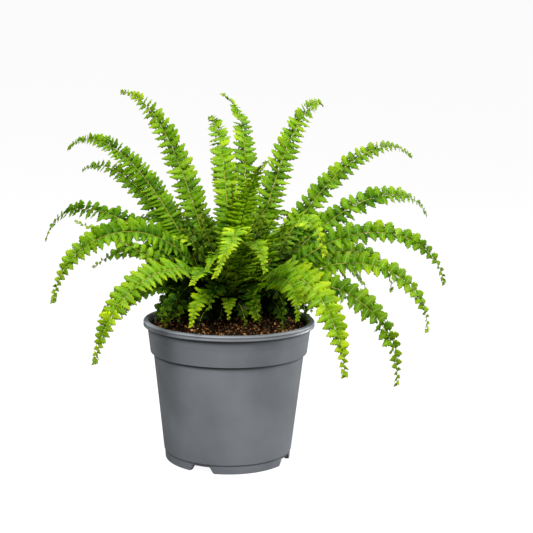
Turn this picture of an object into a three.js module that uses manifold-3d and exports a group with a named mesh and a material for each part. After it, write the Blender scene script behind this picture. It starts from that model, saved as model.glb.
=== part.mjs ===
// A boston fern in a round nursery pot: pot, potting soil, and fronds that stand in holes in the soil.
// Millimetres, +Z up. The origin is the centre of the pot's foot, at ground level, and -Y is the front.
import * as THREE from "three";
import Module from "manifold-3d";
import { mergeVertices } from "three/addons/utils/BufferGeometryUtils.js";

const wasm = await Module();
wasm.setup();

// Pot
const POT_HEIGHT = 106.7;
const LIP_RADIUS = 65;
const LIP_WIDTH = 3.7;
const LIP_DEPTH = 4.1;
const LIP_BEVEL = 0.7;
const COLLAR_TOP_RADIUS = 62;
const COLLAR_FOOT_RADIUS = 59.5;
const SHOULDER_HEIGHT = 82.6;
const BODY_TOP_RADIUS = 57.2;
const FOOT_RADIUS = 47.8;
const FOOT_HEIGHT = 6.6;
const FOOT_STEP = 1;
const FOOT_RING = 3.4;
const WALL = 1.7;
const FLOOR_HEIGHT = 7.4;
const POT_SIDES = 40;
const NOTCH_HEADINGS = [68, 158, 248, 338];
const NOTCH_FOOT_WIDTH = 19;
const NOTCH_TOP_WIDTH = 13.4;
const NOTCH_HEIGHT = 4.8;
const NOTCH_BELOW = 1;
const NOTCH_REACH = 14;
const DRAIN_WIDTH = 10;
const DRAIN_DEPTH = 5;

// Soil
const SOIL_EDGE_HEIGHT = 100.5;
const SOIL_CROWN_HEIGHT = 112;
const SOIL_RADIUS = 59;
const SOIL_SIDES = 28;
const SOIL_RING_SHARES = [0.86, 0.68, 0.46, 0.2];
const SOIL_EDGE_DEPTH = 2;
const SOIL_LUMP = 0.8;
const FIT_GAP = 0.6;

// Fronds
const CROWN = new THREE.Vector2(0, 6);
const ROOT_DEPTH = 9;
const STEM_WIDTH = 1.8;
const TIP_WIDTH = 1;
const STEM_THICKNESS = 1.6;
const BLADE_THICKNESS = 0.75;
const TIP_THICKNESS = 0.6;
const HOLE_GAP = 0.35;
const UPRIGHT_LENGTH = 14;
const LEAN_SHARE = 0.4;
const BARE_LENGTH = 4;
const BARE_SHARE = 0.1;
const BLADE_END = 0.97;
const CROWDING = 0.2;
const LEAFLET_PITCH = 0.66;
const LEAFLET_FORWARD = 0.3;
const FIRST_SIZE = 0.6;
const SIZE_RISE = 2;
const LAST_SIZE = 0.15;
const TAPER_BEND = 4;
const TAPER_POWER = 1.15;
const LEAFLET_SIZES = [1, 0.8, 0.6, 0.4, 0.25];
const LEAFLET_RAISES = [8, 20, -6, 32, -20];
const FIRST_LEAFLET = 3;
const RIB_STEPS = 400;
const RIB_TURNS = [0, 2, -2, 4, -4, 6, -6, 8, -8, 10, -10];
const RIB_CLEARANCE = 2.2;
const CLEARANCE = 1.4;

// A frond is [heading, sweep, rise, droop, bend, length, leaflet, lean, tone]:
// heading  direction it grows in, degrees anticlockwise from the right, seen from above
// sweep    degrees that the heading has turned by at the tip
// rise     slope of the stem above the soil, in degrees
// droop    degrees that the slope has fallen by at the tip
// bend     1 for a rib that bends evenly, more for one that bends late
// length   of the rib from the soil to the tip
// leaflet  length of the longest leaflet
// lean     roll of the blade about its rib in degrees, positive with its left edge up
// tone     0 for an old dark green frond, 1 for a young bright one
// The stems of a ring stand evenly spaced round the crown, in the order of the list, from start on.
const RINGS = [
  { radius: 3, start: 90, fronds: [
    [105, -5, 86, 95, 1.9, 203, 10, -15, 0.9],
    [172, -10, 80, 125, 2, 92, 10, -20, 0.5],
    [255, 0, 80, 125, 1.5, 95, 10, 10, 0.7],
  ] },
  { radius: 9, start: 330, fronds: [
    [26, 20, 53, 90, 3.4, 226, 11, 55, 0.5],
    [47, 30, 70, 89, 3.1, 226, 13, 45, 0.6],
    [77, 49, 80, 66, 1.9, 209, 12, 10, 0.45],
    [95, 10, 76, 110, 1.8, 175, 12, 0, 0.4],
    [143, -17, 68, 75, 3.4, 223, 13, -50, 0.6],
    [154, -23, 57, 97, 3.1, 224, 11, -50, 0.4],
    [263, -8, 71, 94, 0.9, 106, 10, 0, 0.8],
    [284, -39, 76, 122, 1.1, 186, 12, 0, 0.45],
    [289, 4, 83, 66, 1.8, 145, 12, 5, 0.5],
  ] },
  { radius: 15, start: 347, fronds: [
    [352, 2, 46, 130, 2.3, 190, 12, 45, 0.35],
    [9, 42, 50, 102, 2.5, 203, 12, 50, 0.35],
    [40, 0, 62, 120, 1.6, 170, 12, 30, 0.4],
    [66, 10, 66, 130, 1.5, 178, 12, 10, 0.4],
    [90, -10, 58, 125, 1.5, 160, 12, 0, 0.3],
    [112, 10, 64, 130, 1.5, 180, 12, -10, 0.4],
    [134, 10, 64, 130, 1.6, 165, 12, -30, 0.4],
    [157, -30, 58, 87, 2.6, 191, 11, -50, 0.35],
    [165, -42, 50, 111, 1.9, 206, 11, -45, 0.2],
    [188, -25, 60, 42, 0.5, 128, 9, -45, 0.5],
    [216, -3, 66, 151, 1.5, 188, 12, -50, 0.4],
    [232, -15, 73, 155, 0.9, 171, 14, -30, 0.8],
    [288, -5, 67, 125, 1.9, 131, 12, 10, 0.6],
    [298, -14, 51, 105, 2.5, 187, 12, 20, 0.6],
    [304, 3, 73, 159, 0.9, 174, 15, 30, 0.85],
  ] },
  { radius: 21.5, start: 324, fronds: [
    [345, 8, 58, 154, 0.9, 167, 13, 50, 0.5],
    [353, 6, 43, 136, 1.7, 173, 12, 45, 0.55],
    [7, 14, 47, 141, 2.2, 144, 12, 45, 0.5],
    [24, 10, 50, 130, 1.6, 132, 12, 35, 0.3],
    [46, -10, 55, 140, 1.4, 150, 12, 20, 0.3],
    [66, 10, 60, 150, 1.4, 160, 12, 10, 0.3],
    [86, -10, 50, 130, 1.5, 150, 12, 0, 0.3],
    [106, 10, 55, 145, 1.4, 165, 12, -10, 0.3],
    [124, -10, 60, 150, 1.3, 150, 12, -20, 0.3],
    [146, 10, 50, 140, 1.5, 120, 12, -30, 0.2],
    [167, 6, 60, 107, 1.4, 117, 10, -45, 0.2],
    [180, 10, 55, 135, 1.3, 80, 9, -40, 0.2],
    [186, 0, 50, 120, 1.3, 95, 9, -40, 0.3],
    [191, -10, 52, 130, 1.2, 82, 9, -40, 0.2],
    [215, 0, 59, 143, 1.2, 55, 8, -30, 0.2],
    [228, 0, 59, 149, 1.4, 50, 8, -15, 0.3],
    [255, -10, 69, 143, 1.1, 78, 10, -10, 0.75],
    [272, 0, 75, 150, 1.2, 48, 7, 0, 0.5],
    [308, -34, 38, 122, 2.6, 118, 12, 20, 0.6],
    [335, 0, 59, 122, 1.3, 70, 9, 30, 0.4],
  ] },
  { radius: 27.5, start: 285, fronds: [
    [300, 0, 80, 165, 1.2, 40, 8, 20, 0.6],
    [340, 0, 65, 125, 1.2, 42, 8, 20, 0.2],
    [60, 0, 60, 130, 1.3, 50, 8, 0, 0.3],
    [130, 0, 60, 130, 1.3, 50, 8, 0, 0.3],
    [205, 0, 62, 130, 1.2, 42, 8, -15, 0.2],
  ] },
];

const PLASTIC = new THREE.MeshStandardMaterial({ color: "#6b7176", roughness: 0.5, metalness: 0 });
const PEAT = new THREE.MeshStandardMaterial({ color: "#3a2a1f", roughness: 1, metalness: 0 });
const YOUNG_LEAF = new THREE.Color("#93c928");
const OLD_LEAF = new THREE.Color("#2f7a1c");

const fern = new THREE.Group();
const { cos, sin, min, max, PI, hypot } = Math;
const radians = THREE.MathUtils.degToRad;

function leafMaterial(tone) {
  const color = OLD_LEAF.clone().lerp(YOUNG_LEAF, tone);
  return new THREE.MeshStandardMaterial({ color, roughness: 0.45, metalness: 0 });
}

function addPiece(name, geometry, material) {
  const mesh = new THREE.Mesh(geometry, material);
  mesh.name = name;
  fern.add(mesh);
}

// Solids for cutting

function solidFrom(geometry) {
  const bare = new THREE.BufferGeometry();
  bare.setAttribute("position", geometry.attributes.position);
  bare.setIndex(geometry.index);
  const merged = mergeVertices(bare, 1e-4);
  const triangles = [];
  for (let i = 0; i < merged.index.count; i += 3) {
    const [a, b, c] = merged.index.array.slice(i, i + 3);
    if (a !== b && b !== c && c !== a) triangles.push(a, b, c);
  }
  return new wasm.Manifold(new wasm.Mesh({
    numProp: 3,
    vertProperties: new Float32Array(merged.attributes.position.array),
    triVerts: new Uint32Array(triangles),
  }));
}

function geometryFrom(solid) {
  const mesh = solid.getMesh();
  const geometry = new THREE.BufferGeometry();
  geometry.setAttribute("position", new THREE.BufferAttribute(new Float32Array(mesh.vertProperties), 3));
  geometry.setIndex(new THREE.BufferAttribute(new Uint32Array(mesh.triVerts), 1));
  geometry.computeVertexNormals();
  return geometry;
}

// A ring or dish turned round Z from a closed profile of [radius, height] points.
function turned(profile, sides) {
  const points = profile.map(([radius, height]) => new THREE.Vector2(radius, height));
  return new THREE.LatheGeometry(points, sides).rotateX(PI / 2);
}

// Pot

function potProfile() {
  const under = POT_HEIGHT - LIP_DEPTH;
  return [
    [0, FLOOR_HEIGHT],
    [FOOT_RADIUS - FOOT_RING, FLOOR_HEIGHT],
    [FOOT_RADIUS - FOOT_RING, 0],
    [FOOT_RADIUS, 0],
    [FOOT_RADIUS + FOOT_STEP / 2, FOOT_HEIGHT],
    [FOOT_RADIUS + FOOT_STEP, FOOT_HEIGHT + FOOT_STEP / 2],
    [BODY_TOP_RADIUS, SHOULDER_HEIGHT - LIP_BEVEL],
    [COLLAR_FOOT_RADIUS, SHOULDER_HEIGHT],
    [COLLAR_TOP_RADIUS, under],
    [LIP_RADIUS - LIP_BEVEL, under],
    [LIP_RADIUS, under + LIP_BEVEL],
    [LIP_RADIUS, POT_HEIGHT - 2 * LIP_BEVEL],
    [LIP_RADIUS - 2 * LIP_BEVEL, POT_HEIGHT],
    [LIP_RADIUS - LIP_WIDTH, POT_HEIGHT - LIP_BEVEL / 2],
    [COLLAR_TOP_RADIUS - WALL, under],
    [COLLAR_FOOT_RADIUS - WALL, SHOULDER_HEIGHT],
    [BODY_TOP_RADIUS - WALL, SHOULDER_HEIGHT - 2 * WALL],
    [FOOT_RADIUS - WALL, FLOOR_HEIGHT + WALL],
    [0, FLOOR_HEIGHT + WALL],
  ];
}

// A slanted-sided block that opens the foot ring on one side.
function notchCutter(heading) {
  const half = NOTCH_FOOT_WIDTH / 2;
  const halfTop = NOTCH_TOP_WIDTH / 2;
  const outline = new THREE.Shape([
    new THREE.Vector2(-half, -NOTCH_BELOW),
    new THREE.Vector2(half, -NOTCH_BELOW),
    new THREE.Vector2(halfTop, NOTCH_HEIGHT),
    new THREE.Vector2(-halfTop, NOTCH_HEIGHT),
  ]);
  const block = new THREE.ExtrudeGeometry(outline, { depth: NOTCH_REACH, bevelEnabled: false });
  block.rotateX(PI / 2).rotateZ(PI / 2).translate(FOOT_RADIUS - NOTCH_REACH / 2, 0, 0);
  return solidFrom(block.rotateZ(radians(heading)));
}

// A hole through the floor, just inside the foot ring.
function drainCutter(heading) {
  const block = new THREE.BoxGeometry(DRAIN_DEPTH, DRAIN_WIDTH, 4 * WALL);
  block.translate(FOOT_RADIUS - FOOT_RING - DRAIN_DEPTH, 0, FLOOR_HEIGHT);
  return solidFrom(block.rotateZ(radians(heading)));
}

function makePot() {
  let pot = solidFrom(turned(potProfile(), POT_SIDES));
  for (const heading of NOTCH_HEADINGS) {
    pot = pot.subtract(notchCutter(heading)).subtract(drainCutter(heading));
  }
  addPiece("pot", geometryFrom(pot), PLASTIC);
}

// Soil

// The heap falls from the crown to the edge, with low lumps from two crossing sets of waves.
function soilHeight(x, y) {
  const share = min(1, hypot(x, y) / SOIL_RADIUS);
  const lumps = sin(0.31 * x + 1) * cos(0.27 * y) + 0.5 * sin(0.6 * y - 0.4 * x);
  return SOIL_CROWN_HEIGHT - (SOIL_CROWN_HEIGHT - SOIL_EDGE_HEIGHT) * share ** 2
    + SOIL_LUMP * lumps * (1 - share ** 4);
}

function soilProfile() {
  const edge = SOIL_EDGE_HEIGHT;
  const shoulder = SHOULDER_HEIGHT - 2 * WALL;
  return [
    [0, FLOOR_HEIGHT + WALL + FIT_GAP],
    [FOOT_RADIUS - WALL - FIT_GAP, FLOOR_HEIGHT + WALL + FIT_GAP],
    [BODY_TOP_RADIUS - WALL - FIT_GAP, shoulder - FIT_GAP],
    [COLLAR_FOOT_RADIUS - WALL - FIT_GAP, SHOULDER_HEIGHT],
    [SOIL_RADIUS, edge - SOIL_EDGE_DEPTH],
    [SOIL_RADIUS, edge],
    ...SOIL_RING_SHARES.map((share) => [share * SOIL_RADIUS, edge]),
    [0, edge],
  ];
}

// A square upright hole for one stem, as deep as its root end and open above.
function stemHole({ base: [x, y], heading, turn }) {
  const width = STEM_WIDTH + 2 * HOLE_GAP;
  const bottom = soilHeight(x, y) - ROOT_DEPTH - HOLE_GAP;
  const block = new THREE.BoxGeometry(width, width, 2 * ROOT_DEPTH);
  block.rotateZ(radians(heading + turn)).translate(x, y, bottom + ROOT_DEPTH);
  return solidFrom(block);
}

function makeSoil(fronds) {
  const mound = turned(soilProfile(), SOIL_SIDES);
  const spots = mound.attributes.position;
  for (let i = 0; i < spots.count; i++) {
    if (spots.getZ(i) > SOIL_EDGE_HEIGHT - SOIL_EDGE_DEPTH / 2) {
      spots.setZ(i, soilHeight(spots.getX(i), spots.getY(i)));
    }
  }
  let soil = solidFrom(mound);
  for (const frond of fronds) soil = soil.subtract(stemHole(frond));
  addPiece("potting_soil", geometryFrom(soil), PEAT);
}

// Ribs

function direction(slope, heading) {
  return new THREE.Vector3(cos(slope) * cos(heading), cos(slope) * sin(heading), sin(slope));
}

// The rib as fine steps from the soil to the tip: it comes up straight, then leans, arches and falls.
function growRib(frond) {
  const spot = new THREE.Vector3(...frond.base, soilHeight(...frond.base));
  const steps = [];
  for (let i = 0; i <= RIB_STEPS; i++) {
    const share = i / RIB_STEPS;
    const upright = max(0, 1 - share * frond.length / UPRIGHT_LENGTH) ** 2;
    const slope = radians(frond.rise - frond.droop * share ** frond.bend + (90 - frond.rise) * upright);
    const heading = radians(frond.heading + frond.turn + frond.sweep * share ** 2);
    steps.push({ spot: spot.clone(), slope, heading });
    spot.addScaledVector(direction(slope, heading), frond.length / RIB_STEPS);
  }
  return steps;
}

// Where the rib is at a length along it, with the blade's own left and up there.
function stationAt(frond, length) {
  const { slope, heading, spot } = frond.steps[Math.round(RIB_STEPS * max(0, length) / frond.length)];
  const lean = radians(frond.lean) * min(1, max(0, length) / (LEAN_SHARE * frond.length));
  const along = direction(slope, heading);
  const level = new THREE.Vector3(-sin(heading), cos(heading), 0);
  const upright = along.clone().cross(level);
  const left = level.clone().multiplyScalar(cos(lean)).addScaledVector(upright, sin(lean));
  const up = along.clone().cross(left);
  const share = max(0, length) / frond.length;
  const stem = max(0, 1 - max(0, length) / frond.bare);
  return {
    along, left, up,
    spot: spot.clone().setZ(spot.z + min(0, length)),
    halfWidth: THREE.MathUtils.lerp(STEM_WIDTH, TIP_WIDTH, share) / 2,
    halfThickness: THREE.MathUtils.lerp(BLADE_THICKNESS, STEM_THICKNESS, stem) / 2,
  };
}

// The leaflets stand a little closer towards the tip.
function crowded(share) {
  return share + CROWDING * (share - share ** 2);
}

function stationsOf(frond) {
  const lengths = [-ROOT_DEPTH, 0, 0.5 * frond.bare];
  const blade = BLADE_END * frond.length - frond.bare;
  for (let i = 0; i <= frond.pairs; i++) lengths.push(frond.bare + blade * crowded(i / frond.pairs));
  return lengths.map((length) => stationAt(frond, length));
}

// A thin part of a frond, as the triangle midway between its two faces.
function plateOf(a, b, c) {
  const triangle = new THREE.Triangle(a, b, c);
  const centre = triangle.getMidpoint(new THREE.Vector3());
  const reach = max(...[a, b, c].map((corner) => corner.distanceTo(centre)));
  return { triangle, centre, reach };
}

function ribPlates(stations) {
  const plates = [];
  for (let i = 1; i < stations.length; i++) {
    const [rightHere, leftHere] = edgesOf(stations[i - 1]);
    const [rightNext, leftNext] = edgesOf(stations[i]);
    plates.push(plateOf(rightHere, rightNext, leftNext), plateOf(rightHere, leftNext, leftHere));
  }
  return plates;
}

function edgesOf(station) {
  return [-1, 1].map((side) => station.spot.clone().addScaledVector(station.left, side * station.halfWidth));
}

// Clearance

const corners = ({ a, b, c }) => [a, b, c];
const edges = ({ a, b, c }) => [new THREE.Line3(a, b), new THREE.Line3(b, c), new THREE.Line3(c, a)];

function pierces(edge, { a, b, c }) {
  const toEnd = edge.end.clone().sub(edge.start);
  const ray = new THREE.Ray(edge.start, toEnd.clone().normalize());
  const hit = ray.intersectTriangle(a, b, c, false, new THREE.Vector3());
  return hit !== null && hit.distanceTo(edge.start) < toEnd.length();
}

// True when the plates come nearer to each other than the gap, or cross.
function nearer(one, other, gap) {
  if (one.centre.distanceTo(other.centre) > one.reach + other.reach + gap) return false;
  const near = new THREE.Vector3();
  for (const [plate, toward] of [[one.triangle, other.triangle], [other.triangle, one.triangle]]) {
    for (const corner of corners(plate)) {
      if (toward.closestPointToPoint(corner, near).distanceTo(corner) < gap) return true;
    }
    if (edges(plate).some((edge) => pierces(edge, toward))) return true;
  }
  return edges(one.triangle).some((edge) =>
    edges(other.triangle).some((far) => edge.distanceSqToLine3(far) < gap ** 2));
}

// True for a point in or close above the pot's lip or the soil.
function inPot(point) {
  const radius = hypot(point.x, point.y);
  if (radius > LIP_RADIUS + CLEARANCE) return false;
  const top = radius > SOIL_RADIUS - CLEARANCE ? POT_HEIGHT : soilHeight(point.x, point.y);
  return point.z < top + CLEARANCE;
}

function isClear(plate, placed, owner, gap) {
  return !placed.some((other) => other.owner !== owner && nearer(plate, other, gap));
}

// Fronds

function readFronds() {
  return RINGS.flatMap((ring) => ring.fronds.map((row, place) => {
    const [heading, sweep, rise, droop, bend, length, leaflet, lean, tone] = row;
    const around = radians(ring.start + 360 * place / ring.fronds.length);
    const base = [CROWN.x + ring.radius * cos(around), CROWN.y + ring.radius * sin(around)];
    const bare = BARE_LENGTH + BARE_SHARE * length;
    const pairs = Math.round((BLADE_END * length - bare) / (LEAFLET_PITCH * leaflet));
    return { base, heading, sweep, rise, droop, bend, length, leaflet, lean, tone, bare, pairs };
  }));
}

// Each rib is turned a little where it would meet a rib that stands already.
function placeRibs(fronds) {
  const placed = [];
  for (const frond of fronds) {
    for (const turn of RIB_TURNS) {
      frond.turn = turn;
      frond.steps = growRib(frond);
      frond.stations = stationsOf(frond);
      frond.plates = ribPlates(frond.stations);
      if (frond.plates.every((plate) => isClear(plate, placed, frond, RIB_CLEARANCE))) break;
    }
    for (const plate of frond.plates) placed.push({ ...plate, owner: frond });
  }
  return placed;
}

// The outline of the blade: leaflets lengthen quickly from the stem, then shorten to the tip.
function leafletLength(frond, share) {
  const taper = (1 - share ** TAPER_BEND) ** TAPER_POWER;
  return frond.leaflet * min(1, FIRST_SIZE + SIZE_RISE * share) * max(LAST_SIZE, taper);
}

function leafletTip(frond, place, side, size, raise) {
  const here = frond.stations[place];
  const next = frond.stations[place + 1];
  const share = crowded((place + 0.5 - FIRST_LEAFLET) / frond.pairs);
  const length = size * leafletLength(frond, share);
  const tilt = radians(raise);
  const spot = here.spot.clone().add(next.spot).multiplyScalar(0.5);
  return spot.addScaledVector(here.left, side * (length * cos(tilt) + here.halfWidth))
    .addScaledVector(here.up, length * sin(tilt))
    .addScaledVector(here.along, length * LEAFLET_FORWARD);
}

// Picks the longest leaflet, level or raised a little, that stays clear of what is there already.
function fitLeaflet(frond, place, side, placed) {
  const [left, right] = [1, 0];
  const edge = side > 0 ? left : right;
  const here = edgesOf(frond.stations[place])[edge];
  const next = edgesOf(frond.stations[place + 1])[edge];
  for (const size of LEAFLET_SIZES) {
    for (const raise of LEAFLET_RAISES) {
      const tip = leafletTip(frond, place, side, size, raise);
      const plate = plateOf(here, next, tip);
      if ([tip, plate.centre].some(inPot)) continue;
      if (isClear(plate, placed, frond, CLEARANCE)) return { plate, tip };
    }
  }
  return null;
}

function placeLeaflets(frond, placed) {
  frond.tips = [];
  for (let place = FIRST_LEAFLET; place < frond.stations.length - 1; place++) {
    const pair = [-1, 1].map((side) => fitLeaflet(frond, place, side, placed));
    frond.tips[place] = pair.map((leaflet) => leaflet && leaflet.tip);
    for (const leaflet of pair) {
      if (leaflet) placed.push({ ...leaflet.plate, owner: frond });
    }
  }
}

// One closed thin body: every outline point is a post from the upper face to the lower one.
// The faces are split into the same triangles, and a wall stands along the outline.
function frondGeometry(frond) {
  const spots = [];
  const triangles = [];
  const post = (spot, up, half) => {
    spots.push(...spot.clone().addScaledVector(up, half), ...spot.clone().addScaledVector(up, -half));
    return spots.length / 6 - 1;
  };
  const cap = (a, b, c) => triangles.push(2 * a, 2 * b, 2 * c, 2 * a + 1, 2 * c + 1, 2 * b + 1);
  const wall = (a, b) => triangles.push(2 * b, 2 * a, 2 * a + 1, 2 * b, 2 * a + 1, 2 * b + 1);
  const rib = frond.stations.map((station) =>
    edgesOf(station).map((edge) => post(edge, station.up, station.halfThickness)));
  const edge = (from, to, tip, up) => {
    if (!tip) return wall(from, to);
    const point = post(tip, up, BLADE_THICKNESS / 2);
    cap(to, from, point);
    wall(from, point);
    return wall(point, to);
  };
  for (let i = 0; i + 1 < rib.length; i++) {
    const [[right, left], [rightNext, leftNext]] = [rib[i], rib[i + 1]];
    const [rightTip, leftTip] = frond.tips[i] ?? [];
    const { up } = frond.stations[i];
    cap(right, rightNext, leftNext);
    cap(right, leftNext, left);
    edge(right, rightNext, rightTip, up);
    edge(leftNext, left, leftTip, up);
  }
  const last = frond.stations.at(-1);
  const end = last.spot.clone().addScaledVector(last.along, (1 - BLADE_END) * frond.length);
  const point = post(end, last.up, TIP_THICKNESS / 2);
  const [right, left] = rib.at(-1);
  wall(rib[0][1], rib[0][0]);
  cap(left, right, point);
  wall(right, point);
  wall(point, left);
  const geometry = new THREE.BufferGeometry();
  geometry.setAttribute("position", new THREE.Float32BufferAttribute(spots, 3));
  geometry.setIndex(triangles);
  geometry.computeVertexNormals();
  return geometry;
}

function makeFronds(fronds) {
  const placed = placeRibs(fronds);
  for (const frond of fronds) placeLeaflets(frond, placed);
  fronds.forEach((frond, i) => {
    const name = `frond_${String(i + 1).padStart(2, "0")}`;
    addPiece(name, frondGeometry(frond), leafMaterial(frond.tone));
  });
}

const fronds = readFronds();
makePot();
makeFronds(fronds);
makeSoil(fronds);

export default fern;
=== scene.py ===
"""A boston fern in a grey nursery pot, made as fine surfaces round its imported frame.

It is laid out as an add-on: the settings hold the sizes and colours that a user would change, each
operator makes one piece or one group of like pieces, and main makes them all in order. Every surface
is worked out with numpy, in metres: x to the right, y to the back and z up, with the centre of the
pot's foot at the origin. Sizes in the table of fronds are millimetres and are turned into metres once.
"""

from collections import namedtuple
from itertools import combinations

import bpy
import numpy as np
from mathutils import Matrix, Vector


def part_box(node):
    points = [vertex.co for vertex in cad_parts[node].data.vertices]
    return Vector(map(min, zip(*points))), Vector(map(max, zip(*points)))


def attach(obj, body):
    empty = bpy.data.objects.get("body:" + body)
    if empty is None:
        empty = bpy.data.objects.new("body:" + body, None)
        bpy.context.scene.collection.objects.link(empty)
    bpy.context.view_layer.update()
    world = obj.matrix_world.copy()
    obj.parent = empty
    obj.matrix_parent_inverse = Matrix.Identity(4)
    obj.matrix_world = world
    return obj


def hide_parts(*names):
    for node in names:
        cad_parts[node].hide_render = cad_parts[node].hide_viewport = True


bl_info = {
    "name": "Potted boston fern",
    "version": (1, 0, 0),
    "blender": (4, 5, 0),
    "location": "3D View > Sidebar > Fern",
    "description": "Makes a boston fern in a nursery pot",
    "category": "Add Mesh",
}

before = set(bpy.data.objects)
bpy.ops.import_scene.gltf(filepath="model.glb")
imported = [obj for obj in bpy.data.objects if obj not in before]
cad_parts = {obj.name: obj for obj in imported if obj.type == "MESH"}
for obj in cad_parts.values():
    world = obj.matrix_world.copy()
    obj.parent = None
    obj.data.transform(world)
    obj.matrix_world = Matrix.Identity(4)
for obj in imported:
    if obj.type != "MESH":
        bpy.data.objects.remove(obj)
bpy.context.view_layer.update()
POT_BOX = [np.array(corner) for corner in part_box("pot")]
SOIL_BOX = [np.array(corner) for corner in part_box("potting_soil")]

MM = 0.001
BODY = "root"

# Pot
LIP_RADIUS = POT_BOX[1][0]
POT_HEIGHT = POT_BOX[1][2]
LIP_WIDTH = 3.7 * MM
LIP_DEPTH = 4.1 * MM
COLLAR_TOP_RADIUS = 62 * MM
COLLAR_FOOT_RADIUS = 59.5 * MM
SHOULDER_HEIGHT = 82.6 * MM
BODY_TOP_RADIUS = 57.2 * MM
FOOT_RADIUS = 47.8 * MM
FOOT_HEIGHT = 6.6 * MM
MOULD_STEP = 1 * MM
FOOT_RING = 3.4 * MM
FLOOR_HEIGHT = 7.4 * MM
NOTCH_HEADINGS = (68, 158, 248, 338)
NOTCH_FOOT_WIDTH = 19 * MM
NOTCH_TOP_WIDTH = 13.4 * MM
NOTCH_HEIGHT = 4.8 * MM
DRAIN_WIDTH = 10 * MM
DRAIN_DEPTH = 5 * MM
DRAIN_OUT = FOOT_RADIUS - FOOT_RING - DRAIN_DEPTH / 2
LIP_RINGS = 4
POT_COLUMNS = 288
OUTLINE_STEP = 10 * MM
HAIR = 0.01 * MM
# Colour of the painted shade under the pot's ledges
LEDGE_SHADE_COLOUR = (0.004, 0.004, 0.005, 1.0)
# Colour of the painted shade on the pot's inside above the soil, and the heights where it fades in
INSIDE_SHADE_COLOUR = (0.015, 0.017, 0.012, 1.0)
INSIDE_SHADE_HEIGHT = (94 * MM, 98 * MM)
# Ledges with painted shade under them: height, reach of the shade in millimetres, and its depth
SHADED_LEDGES = ((POT_HEIGHT - LIP_DEPTH, 2.6, 0.88), (SHOULDER_HEIGHT, 3.0, 0.88), (FOOT_HEIGHT, 1.2, 0.6))

# Soil
SOIL_RADIUS = SOIL_BOX[1][0]
SOIL_FLOOR = SOIL_BOX[0][2]
SOIL_EDGE_HEIGHT = 100.5 * MM
SOIL_CROWN_HEIGHT = 112 * MM
SOIL_LUMP = 0.8 * MM
# Waves of the heap's low lumps, in radians a metre
BROAD_WAVES = (310, 270)
CROSS_WAVES = (400, 600)
SOIL_INSET = 2.3 * MM
HEAP_COLUMNS = 300
HEAP_RINGS = 60
# Sizes of the heap's fine lumps: width, seed and share of the grain's height
HEAP_LUMPS = ((9 * MM, 1, 0.5), (4.5 * MM, 2, 0.45), (2.4 * MM, 3, 0.4), (1.3 * MM, 4, 0.3))
CRUMB_SEED = 11
CRUMB_CORNERS = 12
CHIP_EVERY = 4
CHIP_STRETCH = (2.0, 0.7, 0.6)

# Fronds
CROWN = np.array([0, 6 * MM])
ROOT_DEPTH = 9 * MM
UPRIGHT_LENGTH = 14 * MM
LEAN_SHARE = 0.4
LATE_LEAN = 0.5
BARE_LENGTH = 4 * MM
BARE_SHARE = 0.1
BLADE_END = 0.99
FOOT_SPACING = 0.35
TIP_SPACING = 0.4
OPEN_FROM = 0.6
MEAN_SPACING = 0.72
FIRST_SIZE = 0.6
SIZE_RISE = 2
LAST_SIZE = 0.25
TAPER_BEND = 5
TAPER_POWER = 1.1
RIB_STEPS = 400
RIB_STATION = 3.2 * MM
RIB_SIDES = 8
LOBES = 5
LEAFLET_ROWS = 2 * LOBES - 1
ACROSS = np.array([-1, -0.5, 0, 0.5, 1])
# Mean and spread of the random draws for a leaflet: raise in degrees, sweep towards the tip
LEAFLET_RAISE = (7, 9)
LEAFLET_SWEEP = (0.10, 0.06)
# How far a leaflet's own tip bends forward, as a share of its length
FORWARD_BEND = 0.11
# Share of the rib where leaflets begin to turn towards its tip, and the share that the turn takes
FORWARD_FROM = 0.912
FORWARD_OVER = 0.06
# Pale midrib: partly its own colour, partly a painted highlight along each leaflet
MIDRIB_GREEN = (0.36, 0.52, 0.08, 1.0)
# Paler lower faces: partly their own colour, partly painted light that stands in for light through the leaf
UNDER_GREEN = (0.235, 0.46, 0.003, 1.0)
CROWN_SHADE = (0.002, 0.006, 0.0002, 1.0)
# Where that shade fades out: distance from the crown's axis, height, and place from the front back
SHADE_OUT = (35 * MM, 60 * MM)
SHADE_HEIGHT = (108 * MM, 156 * MM)
SHADE_FRONT = (-35 * MM, -15 * MM)
INNER_SHADE_OUT = (45 * MM, 65 * MM)
INNER_SHADE_HEIGHT = (115 * MM, 195 * MM)
# Colours of a rib's top and of its underside, on an old and on a young frond
RIB_TOP = ((0.15, 0.13, 0.006, 1.0), (0.26, 0.30, 0.008, 1.0))
RIB_UNDER = ((0.030, 0.016, 0.003, 1.0), (0.08, 0.08, 0.004, 1.0))

# Inner fronds
INNER_RADIUS = 31 * MM
INNER_BARE = 2 * MM
INNER_PIECES = 3
INNER_SEED = 1000
GOLDEN_ANGLE = 137.5

# Stage
FLOOR_COLUMNS = 96
FLOOR_RADII = np.linspace(0.4, 5.0, 24)
FLAT_RADIUS = 1.6
FLOOR_CURVE = 0.12
SKY_LIGHT = 0.14
LIGHT_TARGET = (0, 0, 0.15)
# Soft lights: name, width in metres, power in watts and place
LIGHTS = (
    ("key", 0.6, 33, (-0.55, -1.05, 1.2)),
    ("fill", 0.8, 19, (1.1, -0.8, 0.8)),
    ("top", 0.7, 24, (0.1, 0.3, 1.5)),
    ("edge", 0.7, 17, (1.3, 0.7, 0.35)),
)

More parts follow.
